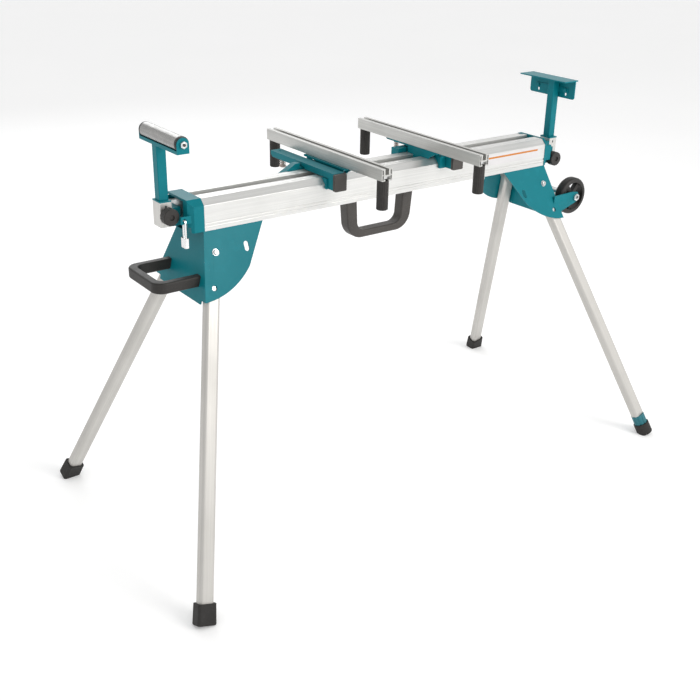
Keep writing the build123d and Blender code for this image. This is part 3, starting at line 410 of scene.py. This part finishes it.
def make_hub_caps():
    """Stepped hub face with a bearing seal on the outer side of both wheels."""
    dark = moulded("hub_plastic", (0.030, 0.028, 0.026), (0.080, 0.074, 0.068), 0.42)
    for name, way in (("front_wheel", -1), ("rear_wheel", 1)):
        low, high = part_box(name)
        y = low.y if way < 0 else high.y
        place = ((low.x + high.x) / 2, y, (low.z + high.z) / 2)
        profile = [(0.0000, 0.0118), (0.0009, 0.0112), (0.0012, 0.0100), (0.0012, 0.0084), (0.0005, 0.0078),
                   (0.0005, 0.0062), (0.0010, 0.0056)]
        add_piece(f"{name}_hub_face", lathe(profile, place, (0, way, 0), 40), dark, name)


make_label()
make_roller_rings()
make_bolt_sockets()
make_keyhole()
make_hub_caps()


# ---------------------------------------------------------------- camera, floor and light
def make_camera():
    """Looks down at the front from beyond the left end, with a slight roll."""
    azimuth, elevation, roll = math.radians(-37.08), math.radians(25.0), math.radians(1.30)
    back = Vector((math.sin(azimuth) * math.cos(elevation), -math.cos(azimuth) * math.cos(elevation),
                   math.sin(elevation)))
    right = (-back).cross(Vector((0, 0, 1))).normalized()
    up = right.cross(-back)
    right, up = (right * math.cos(roll) + up * math.sin(roll), up * math.cos(roll) - right * math.sin(roll))
    data = bpy.data.cameras.new("camera")
    data.sensor_width, data.lens = 36.0, 52.08
    camera = bpy.data.objects.new("camera", data)
    place = Matrix((right, up, back)).transposed().to_4x4()
    place.translation = Vector((-1.4756, -1.8494, 1.4068))
    camera.matrix_world = place
    scene.collection.objects.link(camera)
    scene.camera = camera


def make_floor():
    mesh = bpy.data.meshes.new("floor")
    size = 14.0
    mesh.from_pydata([(-size, -size, 0), (size, -size, 0), (size, size, 0), (-size, size, 0)], [], [(0, 1, 2, 3)])
    floor = bpy.data.objects.new("floor", mesh)
    scene.collection.objects.link(floor)
    look = Look("studio_floor", rough=0.7, specular=0.2)
    tone = look.mix(look.remap(look.noise(1.2, 3.0), 0.3, 0.7), (0.97, 0.97, 0.97), (0.955, 0.955, 0.955))
    look.shader.inputs["Emission Color"].default_value = (1, 1, 1, 1)
    look.shader.inputs["Emission Strength"].default_value = 0.16
    mesh.materials.append(look.finish(tone))


def area_light(name, place, target, size, power, colour=(1, 1, 1)):
    data = bpy.data.lights.new(name, "AREA")
    data.shape, data.size, data.energy, data.color = "DISK", size, power, colour
    light = bpy.data.objects.new(name, data)
    light.location = place
    light.rotation_euler = (Vector(target) - Vector(place)).to_track_quat("-Z", "Y").to_euler()
    scene.collection.objects.link(light)


def make_world():
    """Studio surround, darker overhead and towards the left end."""
    world = bpy.data.worlds.new("studio")
    world.use_nodes = True
    tree = world.node_tree
    background = tree.nodes["Background"]
    coord = tree.nodes.new("ShaderNodeTexCoord")
    split = tree.nodes.new("ShaderNodeSeparateXYZ")
    ramp = tree.nodes.new("ShaderNodeValToRGB")
    side = tree.nodes.new("ShaderNodeMapRange")
    shade = tree.nodes.new("ShaderNodeVectorMath")
    shade.operation = "MULTIPLY"
    tree.links.new(coord.outputs["Generated"], split.inputs[0])
    tree.links.new(split.outputs["Z"], ramp.inputs["Fac"])
    tree.links.new(split.outputs["X"], side.inputs["Value"])
    for socket, value in (("From Min", -0.9), ("From Max", 0.1), ("To Min", 0.80), ("To Max", 1.0)):
        side.inputs[socket].default_value = value
    tree.links.new(ramp.outputs["Color"], shade.inputs[0])
    tree.links.new(side.outputs[0], shade.inputs[1])
    tree.links.new(shade.outputs[0], background.inputs["Color"])
    ramp.color_ramp.elements[0].position, ramp.color_ramp.elements[0].color = 0.05, (1, 1, 1, 1)
    ramp.color_ramp.elements[1].position, ramp.color_ramp.elements[1].color = 0.9, (0.55, 0.55, 0.55, 1)
    background.inputs["Strength"].default_value = 1.16
    scene.world = world


make_camera()
make_floor()
make_world()
area_light("key", (1.6, -3.4, 2.6), (0, 0, 0.6), 2.2, 70, (1.0, 0.985, 0.96))
area_light("back", (0.6, 3.2, 2.6), (0, 0, 0.5), 2.4, 26, (0.98, 0.99, 1.0))
scene.view_settings.view_transform = "Standard"
